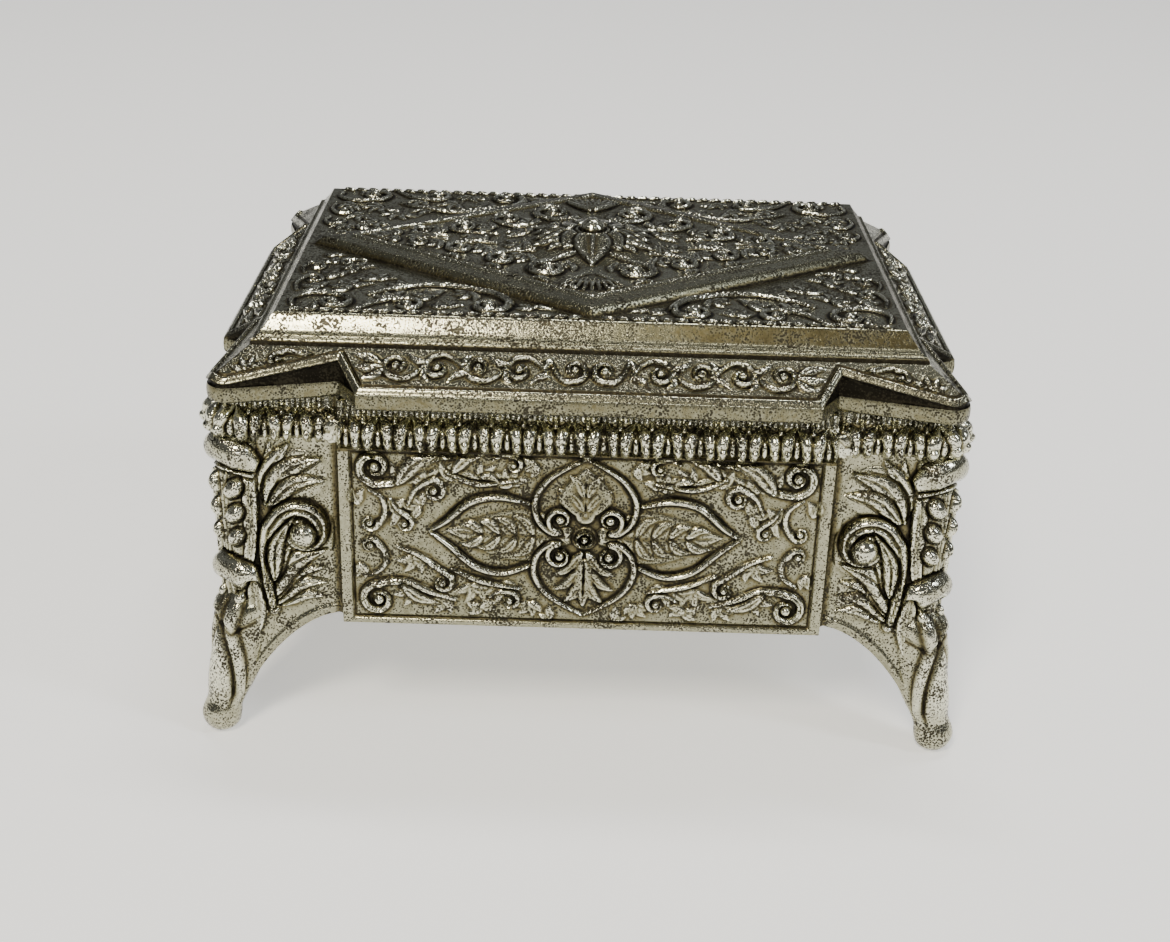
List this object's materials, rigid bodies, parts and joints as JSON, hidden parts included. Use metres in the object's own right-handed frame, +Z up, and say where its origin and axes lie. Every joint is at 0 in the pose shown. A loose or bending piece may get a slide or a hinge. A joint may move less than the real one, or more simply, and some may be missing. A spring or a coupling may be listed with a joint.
{
  "type": "trinket box",
  "caption": "Footed rectangular trinket box in ornate cast plated metal, with a hinged bevelled lid, splayed corner feet and a velvet-lined compartment.",
  "frame": {"origin": "centre of the four feet's contact plane, on the surface the box stands on", "axes": "+Z up, front of the box towards -Y, its width along X"},
  "size_m": [0.135, 0.095, 0.0822],
  "materials": {
    "cast_silver_plate": "satin",
    "bottom_sheet": "satin",
    "hinge_sheet": "satin",
    "hinge_pin_steel": "satin",
    "lining_card": "matte",
    "crimson_velvet": "matte"
  },
  "bodies": {
    "box": {"front_panel": "cast_silver_plate", "back_panel": "cast_silver_plate", "left_panel": "cast_silver_plate", "right_panel": "cast_silver_plate", "leg_front_left": "cast_silver_plate", "leg_front_right": "cast_silver_plate", "leg_back_left": "cast_silver_plate", "leg_back_right": "cast_silver_plate", "base_plate": "bottom_sheet", "hinge_left_body_leaf": "hinge_sheet", "hinge_right_body_leaf": "hinge_sheet", "hinge_left_pin": "hinge_pin_steel", "hinge_right_pin": "hinge_pin_steel", "floor_card": "lining_card", "floor_velvet": "crimson_velvet", "front_wall_card": "lining_card", "back_wall_card": "lining_card", "left_wall_card": "lining_card", "right_wall_card": "lining_card", "front_wall_velvet": "crimson_velvet", "back_wall_velvet": "crimson_velvet", "left_wall_velvet": "crimson_velvet", "right_wall_velvet": "crimson_velvet"},
    "lid": {"lid_shell": "cast_silver_plate", "lid_card": "lining_card", "lid_velvet": "crimson_velvet", "hinge_left_lid_leaf": "hinge_sheet", "hinge_right_lid_leaf": "hinge_sheet"}
  },
  "joints": [
    {"name": "lid_hinge", "type": "hinge", "parent": "box", "child": "lid", "pos_m": [0, 0.0452, 0.0648], "axis": [-1, 0, 0], "range_deg": [0, 100]}
  ]
}
